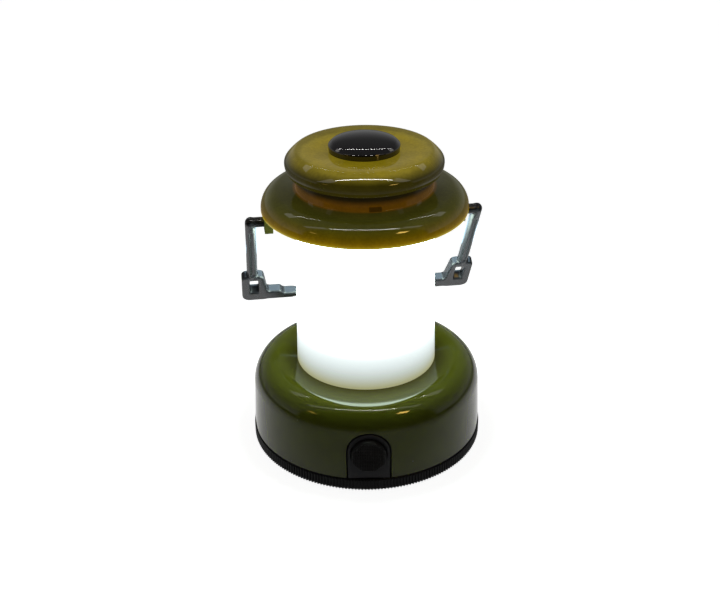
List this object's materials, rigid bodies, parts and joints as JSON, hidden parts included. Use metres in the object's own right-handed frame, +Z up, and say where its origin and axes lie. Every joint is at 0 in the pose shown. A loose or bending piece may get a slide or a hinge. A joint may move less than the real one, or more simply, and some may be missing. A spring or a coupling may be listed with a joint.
{
  "type": "camping lantern",
  "caption": "Small battery lantern with a round base, push-button switch, lit frosted globe, domed roof and a swinging bail handle.",
  "frame": {"origin": "centre of the flat face that the lantern stands on, on the axis of the base, globe and roof", "axes": "+Z up along the lantern's axis; X along the bail's pivot pins; the switch faces almost -Y and the bail hangs towards +Y"},
  "size_m": [0.0928, 0.0915, 0.1221],
  "materials": {
    "green_plastic": "glossy olive green moulding",
    "roof_plastic": "glossy olive green moulding that lets some light through",
    "cap_plastic": "glossy olive green moulding that lets some light through",
    "cover_plastic": "satin black moulding",
    "bezel_plastic": "satin black moulding",
    "button_rubber": "matt black rubber with a waffle face",
    "finial_plastic": "polished black moulding",
    "bail_plastic": "satin black nylon moulding",
    "globe_plastic": "frosted white diffuser, lit",
    "tray_plastic": "black moulding",
    "white_plastic": "white moulding",
    "circuit_board": "green solder mask",
    "white_board": "white solder mask",
    "led_resin": "yellow phosphor resin",
    "cell_jacket": "plain printed jacket",
    "contact_steel": "nickel-plated",
    "screw_steel": "zinc-plated",
    "red_wire": "insulated wire",
    "yellow_wire": "insulated wire",
    "black_wire": "insulated wire"
  },
  "bodies": {
    "lantern": {"base_shell": "green_plastic", "battery_tray": "tray_plastic", "battery_1": "cell_jacket", "battery_2": "cell_jacket", "battery_3": "cell_jacket", "contact_springs": "contact_steel", "contact_plates": "contact_steel", "tray_screws": "screw_steel", "switch_bezel": "bezel_plastic", "switch_body": "tray_plastic", "switch_board": "circuit_board", "switch_screws": "screw_steel", "led_column": "white_plastic", "led_board": "white_board", "leds": "led_resin", "led_screws": "screw_steel", "column_screws": "screw_steel", "globe": "globe_plastic", "roof": "roof_plastic", "cap": "cap_plastic", "cap_screws": "screw_steel", "finial": "finial_plastic", "finial_clip": "screw_steel", "wire_supply": "red_wire", "wire_switched": "yellow_wire", "wire_return": "black_wire"},
    "bail": {"bail": "bail_plastic"},
    "button": {"switch_button": "button_rubber", "switch_plunger": "white_plastic"},
    "cover": {"battery_cover": "cover_plastic"}
  },
  "joints": [
    {"name": "bail_swing", "type": "hinge", "parent": "lantern", "child": "bail", "pos_m": [0, 0, 0.0913], "axis": [1, 0, 0], "range_deg": [0, 293]},
    {"name": "button_press", "type": "slide", "parent": "lantern", "child": "button", "axis": [0.1201, 0.9928, 0], "range_m": [0, 0.0016], "stiffness_N_per_m": 1500, "springref_m": -0.0004},
    {"name": "cover_turn", "type": "hinge", "parent": "lantern", "child": "cover", "pos_m": [0, 0, 0], "axis": [0, 0, 1], "range_deg": [0, 28]}
  ]
}
